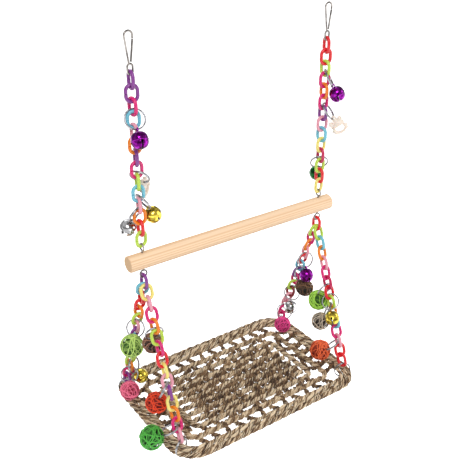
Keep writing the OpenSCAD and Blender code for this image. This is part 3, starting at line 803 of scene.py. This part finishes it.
length = add(winding, "ShaderNodeVectorMath", {0: here}, operation="LENGTH").outputs["Value"]
reach = math_node(winding, "SUBTRACT", given["Radius"], given["Strand"])
on_ball = scaled(winding, vector_node(winding, "NORMALIZE", bent),
                 math_node(winding, "MULTIPLY", length, reach))
wound = add(winding, "GeometryNodeSetPosition", {"Geometry": loose.outputs[0], "Position": on_ball})
strands = tube(winding, wound.outputs[0], given["Strand"], sides=6, caps=False)
finish_group(winding, strands, given["Finish"])


def dyed_vine_with_painted_shade(name, light, dark):
    """Peeled vine, dyed: matt and streaked along its length, and darker on the deeper strands as painted
    shade.
    """
    material, tree, shader = new_material(name, {"Roughness": 0.6})
    strand = add(tree, "ShaderNodeAttribute", attribute_name="strand").outputs["Fac"]
    place = object_place(tree)
    # Deeper strands, and the core, which has no such value, are darker: painted shade.
    painted_depth_shade = math_node(tree, "MULTIPLY_ADD", strand, 1.1, -0.2)
    both = math_node(tree, "MULTIPLY_ADD", noise(tree, place, 3, detail=3.0), 0.25, painted_depth_shade)
    tree.links.new(mix_colour(tree, both, linear(dark), linear(light)), shader.inputs["Base Color"])
    roughen(tree, shader, noise(tree, place, 0.5), 0.4, 0.15)
    return material


# Each ball: its lightest dye, its darkest colour, which the deepest strands and the core take as painted
# shade, the strand's radius in mm and how many turns it has
balls = {
    "light_green": ("#cdf080", "#38681a", 0.48, 42), "brown": ("#a8765f", "#120805", 0.6, 22),
    "pink": ("#ff7c9e", "#a0143a", 0.46, 42), "red_orange": ("#ff4c1e", "#7c0a02", 0.48, 38),
    "dark_green": ("#5cc84c", "#062c06", 0.56, 32), "dark_brown": ("#8c6444", "#0c0503", 0.5, 22),
    "magenta": ("#ff4c9e", "#7a023c", 0.46, 34), "lime_green": ("#b4ee58", "#2a5c08", 0.46, 44),
    "taupe": ("#d8c6b0", "#201610", 0.55, 22), "orange": ("#ff7440", "#8c1a02", 0.5, 36),
}
# A wound ball is a little larger than its solid, but for those that would touch a bell. A plain core
# inside it keeps light from showing through, and is painted dark as the deepest strands: painted shade.
ball_swell = 1.03
beside_a_bell = ("dark_brown",)
core_share = 0.72
for seed, (name, (light, dark, strand_r, turns)) in enumerate(balls.items()):
    node = f"{name}_ball"
    low, high = (Vector(c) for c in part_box(node))
    centre = (low + high) / 2
    radius = max(high - low) / 2 * (1 if name in beside_a_bell else ball_swell)
    ball = apply_group(in_scene(f"{name}_strands", bpy.data.meshes.new("blank")), winding, {
        "Radius": radius, "Strand": strand_r * MM, "Turns": turns, "Seed": seed,
        "Finish": dyed_vine_with_painted_shade(f"dyed_vine_{name}", light, dark)})
    work = bmesh.new()
    work.from_mesh(ball.data)
    bmesh.ops.create_icosphere(work, subdivisions=3, radius=radius * core_share)
    bmesh.ops.transform(work, matrix=Matrix.Translation(centre), verts=work.verts)
    work.to_mesh(ball.data)
    work.free()
    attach(ball, node)
    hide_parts(node)
    ring_points = islands(f"{name}_ring")[0]
    hoop = copies_at(f"{name}_split_ring", ring_shape, ring_steel, [ring_frame(ring_points, centre)])
    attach(hoop, node)
    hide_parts(f"{name}_ring")
bpy.data.objects.remove(ring_shape)


# Mat. Dried seagrass blades are twisted into strands, and strands are laid into rope: five in the border,
# three in the rope along its outside and in each rope inside it. Short cords lace the ropes together, and
# more cords are packed in between. The grass is dull, streaky and tan to dark brown.
rope_tree, given = new_group("laid_rope", {
    "Geometry": "Geometry", "Step": "Float", "Strands": "Int", "Across": "Float", "Lift": "Float",
    "Lay": "Float", "Blades": "Int", "Strand": "Float", "Blade": "Float", "Twist": "Float",
    "Ragged": "Float", "Hairs": "Float", "Lightest": "Float", "Seed": "Int", "Finish": "Material"})
drift_rate, drift_turn = 60.0, 1.4
ragged_rate, width_rate = 260.0, 120.0
hair_length, hair_root, hair_tip, hair_lean = 3.5 * MM, 0.18 * MM, 0.05 * MM, 1.1


def wound_round(tree, curve, count, across, lift, lay, seed):
    """Repeats each curve and winds the repeats round its line, in a round or an oval."""
    upright = add(tree, "GeometryNodeSetCurveNormal", {"Curve": curve}, mode="Z_UP")
    many = add(tree, "GeometryNodeDuplicateElements", {"Geometry": upright.outputs[0], "Amount": count},
               domain="SPLINE")
    along = add(tree, "GeometryNodeSplineParameter").outputs["Length"]
    share = math_node(tree, "DIVIDE", many.outputs["Duplicate Index"], count)
    turns = math_node(tree, "ADD", math_node(tree, "DIVIDE", along, lay), share)
    angle = math_node(tree, "MULTIPLY", turns, 2 * math.pi)
    place = add(tree, "GeometryNodeInputPosition").outputs[0]
    drift = add(tree, "ShaderNodeTexNoise", {"Vector": place, "Scale": drift_rate, "W": seed},
                noise_dimensions="4D")
    angle = math_node(tree, "MULTIPLY_ADD", drift.outputs["Fac"], drift_turn, angle)
    sideways = math_node(tree, "MULTIPLY", math_node(tree, "SINE", angle), across)
    quarter_on = math_node(tree, "ADD", angle, math.pi / 2)
    upwards = math_node(tree, "MULTIPLY", math_node(tree, "SINE", quarter_on), lift)
    normal = add(tree, "GeometryNodeInputNormal").outputs[0]
    tangent = add(tree, "GeometryNodeInputTangent").outputs[0]
    binormal = vector_node(tree, "CROSS_PRODUCT", tangent, normal)
    offset = vector_node(tree, "ADD", scaled(tree, normal, sideways), scaled(tree, binormal, upwards))
    moved = add(tree, "GeometryNodeSetPosition", {"Geometry": many.outputs["Geometry"], "Offset": offset})
    return moved.outputs[0]


even = add(rope_tree, "GeometryNodeResampleCurve", {"Curve": given["Geometry"], "Length": given["Step"]},
           mode="LENGTH")
strands = wound_round(rope_tree, even.outputs[0], given["Strands"], given["Across"], given["Lift"],
                      given["Lay"], given["Seed"])
blades = wound_round(rope_tree, strands, given["Blades"], given["Strand"], given["Strand"],
                     given["Twist"], given["Seed"])
spot = add(rope_tree, "GeometryNodeInputPosition").outputs[0]
rough = add(rope_tree, "ShaderNodeTexNoise", {"Vector": spot, "Scale": ragged_rate, "Detail": 2.0})
away = vector_node(rope_tree, "SUBTRACT", rough.outputs["Color"], half_grey)
frayed = add(rope_tree, "GeometryNodeSetPosition", {
    "Geometry": blades, "Offset": scaled(rope_tree, away, given["Ragged"])})
number = add(rope_tree, "GeometryNodeInputIndex").outputs[0]
which = add(rope_tree, "FunctionNodeRandomValue", {
    2: 0.0, 3: given["Lightest"], "ID": number, "Seed": given["Seed"]}, data_type="FLOAT")
marked = add(rope_tree, "GeometryNodeStoreNamedAttribute", {
    "Geometry": frayed.outputs[0], "Name": "blade", "Value": which.outputs[1]},
    data_type="FLOAT", domain="CURVE")
width = add(rope_tree, "ShaderNodeTexNoise", {"Vector": spot, "Scale": width_rate})
width = math_node(rope_tree, "MULTIPLY_ADD", width.outputs["Fac"], 1.0, 0.5)
grass = tube(rope_tree, marked.outputs[0], given["Blade"], sides=5, caps=True, size=width)
roots = add(rope_tree, "GeometryNodeDistributePointsOnFaces", {
    "Mesh": grass, "Density": given["Hairs"], "Seed": given["Seed"]})
hair = add(rope_tree, "GeometryNodeMeshCone", {
    "Vertices": 3, "Radius Top": hair_tip, "Radius Bottom": hair_root, "Depth": hair_length})
lean = add(rope_tree, "FunctionNodeRandomValue", {
    "Min": (-hair_lean, -hair_lean, 0), "Max": (hair_lean, hair_lean, full_turn), "Seed": given["Seed"]},
    data_type="FLOAT_VECTOR")
leaning = add(rope_tree, "FunctionNodeEulerToRotation", {0: lean.outputs[0]})
leaned = add(rope_tree, "FunctionNodeRotateRotation", {
    0: roots.outputs["Rotation"], 1: leaning.outputs[0]}, rotation_space="LOCAL")
hairs = add(rope_tree, "GeometryNodeInstanceOnPoints", {
    "Points": roots.outputs["Points"], "Instance": hair.outputs["Mesh"], "Rotation": leaned.outputs[0]})
both = add(rope_tree, "GeometryNodeJoinGeometry")
rope_tree.links.new(hairs.outputs[0], both.inputs[0])
rope_tree.links.new(grass, both.inputs[0])
real = add(rope_tree, "GeometryNodeRealizeInstances", {0: both.outputs[0]})
finish_group(rope_tree, real.outputs[0], given["Finish"])

seagrass, tree, shader = new_material("dried_seagrass", {"Roughness": 0.75})
place = object_place(tree)
blade = add(tree, "ShaderNodeAttribute", attribute_name="blade").outputs["Fac"]
patch = noise(tree, place, 12, detail=3.0)
streak = noise(tree, place, 1.1, detail=4.0)
mixed = math_node(tree, "MULTIPLY_ADD", streak, 0.6, math_node(tree, "MULTIPLY", blade, 0.8))
mixed = math_node(tree, "MULTIPLY_ADD", patch, 0.3, mixed)
tone = ramp(tree, mixed, [(0.42, "#2a1b12"), (0.58, "#5c4430"), (0.72, "#8c6e4e"), (0.86, "#bc9c76"),
                          (1.0, "#ecd8b8")])
tree.links.new(tone, shader.inputs["Base Color"])
roughen(tree, shader, streak, 0.5, 0.3)


mat_low, mat_high = (np.array(c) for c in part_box("mat_border"))
mat_sag = 7 * MM


def sagged(point):
    """Lets a point of the flat mat hang lower the further in it lies."""
    x, y = (2 * (np.array(point[:2]) - mat_low[:2]) / (mat_high - mat_low)[:2] - 1)
    return point[0], point[1], point[2] - mat_sag * max(0, 1 - x * x) * max(0, 1 - y * y)


def paths_object(name, paths):
    """A curve object with one plain spline for each path of points."""
    data = bpy.data.curves.new(name, "CURVE")
    data.dimensions = "3D"
    for points, closed in paths:
        spline = data.splines.new("POLY")
        spline.points.add(len(points) - 1)
        spline.points.foreach_set("co", [v for p in points for v in (*sagged(p), 1)])
        spline.use_cyclic_u = closed
    return in_scene(name, data)


def rounded_path(low, high, inset, bend, steps=10):
    """The middle line of a rope rectangle with round corners, set in from its box."""
    x0, x1, y0, y1 = (low[0] + inset + bend, high[0] - inset - bend,
                      low[1] + inset + bend, high[1] - inset - bend)
    z = (low[2] + high[2]) / 2
    points = []
    for cx, cy, start in ((x1, y1, 0), (x0, y1, 90), (x0, y0, 180), (x1, y0, 270)):
        for i in range(steps + 1):
            a = math.radians(start + 90 * i / steps)
            points.append((cx + bend * math.cos(a), cy + bend * math.sin(a), z))
    return points, True


def straight_path(low, high, steps=25):
    """The middle line of a straight rope, from its box."""
    y, z = (low[1] + high[1]) / 2, (low[2] + high[2]) / 2
    return [(x, y, z) for x in np.linspace(low[0], high[0], steps)], False


def lacing_path(low, high, way, steps=8):
    """A short cord that comes over the rope at one end and goes under the rope at the other."""
    centre = (low + high) / 2
    run = np.zeros(3)
    longest = int(np.argmax(high - low))
    run[longest] = (high - low)[longest] / 2 + rope / 2 * MM
    rise = np.array((0, 0, way * cord_rise * MM))
    places = np.linspace(-1, 1, steps)
    return [tuple(centre + run * t + rise * math.sin(t * math.pi / 2)) for t in places], False


def rope_piece(name, paths, nodes, values):
    """Lays rope along paths and lets it stand for CAD nodes of the mat."""
    lengths = ("Step", "Across", "Lift", "Lay", "Strand", "Blade", "Twist", "Ragged")
    settings = {k: (v * MM if k in lengths else v) for k, v in values.items()}
    piece = apply_group(paths_object(name, paths), rope_tree, {**settings, "Finish": seagrass})
    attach(piece, "mat")
    if nodes:
        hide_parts(*nodes)


border_bend, edge_step, edge_reach, rope, frame_bend, cord_rise = 25.5, 8, 11.5, 9, 9, 3.4
# Each rope: lengths in mm, how many strands and blades it has, hairs to the square metre, and its seed
hairy = {"Hairs": 5000.0, "Lightest": 1.0}
braid = {"Step": 2.5, "Strands": 5, "Across": 4.1, "Lift": 3.5, "Lay": 110, "Blades": 10, "Strand": 1.6,
         "Blade": 0.5, "Twist": 17, "Ragged": 2.6, "Seed": 3}
edge = {"Step": 2.2, "Strands": 3, "Across": 1.7, "Lift": 1.7, "Lay": 36, "Blades": 7, "Strand": 1.2,
        "Blade": 0.48, "Twist": 14, "Ragged": 2.2, "Seed": 4}
laid = {"Step": 2.9, "Strands": 3, "Across": 2.1, "Lift": 2.1, "Lay": 26, "Blades": 8, "Strand": 1.4,
        "Blade": 0.48, "Twist": 14, "Ragged": 2.4, "Seed": 5}
lace = {"Step": 2.0, "Strands": 2, "Across": 1.8, "Lift": 1.4, "Lay": 14, "Blades": 7, "Strand": 1.3,
        "Blade": 0.5, "Twist": 12, "Ragged": 2.4, "Seed": 8}
packing = {**lace, "Strands": 3, "Across": 1.9, "Lift": 1.2, "Seed": 9}
low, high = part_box("mat_border")
outline = [rounded_path(low, high, edge_reach * MM, border_bend * MM)]
outside = [rounded_path(low, high, (edge_reach - edge_step) * MM, (border_bend + edge_step) * MM)]
rope_piece("border_braid", outline, ["mat_border"], {**braid, **hairy})
rope_piece("border_edge", outside, [], {**edge, **hairy})
rope_paths = []
for points in islands("mat_ropes"):
    low, high = points.min(axis=0), points.max(axis=0)
    if high[1] - low[1] > 2 * rope * MM:
        rope_paths.append(rounded_path(low, high, rope / 2 * MM, frame_bend * MM))
    else:
        rope_paths.append(straight_path(low, high))
rope_piece("inner_ropes", rope_paths, ["mat_ropes"], {**laid, **hairy})

cord_step, packing_drop, packing_share = 16, 1.5, 0.75
beside = np.array((cord_step / 2 * MM, 0, -packing_drop * MM))
straight_ropes = [points for points in islands("mat_ropes") if np.ptp(points[:, 1]) < 2 * rope * MM]
inner_half = max(abs(y) for points in straight_ropes for y in points[:, 1])
cord_paths, packing_paths = [], []
for i, points in enumerate(islands("mat_cross_cords")):
    low, high = points.min(axis=0), points.max(axis=0)
    way = 1 if (i + int((low + high)[1] * 500 // rope)) % 2 else -1
    cord_paths.append(lacing_path(low, high, way))
    inside = max(abs(low[1]), abs(high[1])) < inner_half + rope * MM and np.argmax(high - low) < 2
    if inside and shake.random() < packing_share:
        packing_paths.append(lacing_path(low + beside, high + beside, -way))
# The lacing and packing cords lie between and below the ropes, and their blades are kept darker as painted
# shade.
rope_piece("lacing", cord_paths, ["mat_cross_cords"], {**lace, **hairy, "Lightest": 0.5})
rope_piece("packing", packing_paths, [], {**packing, **hairy, "Lightest": 0.35})
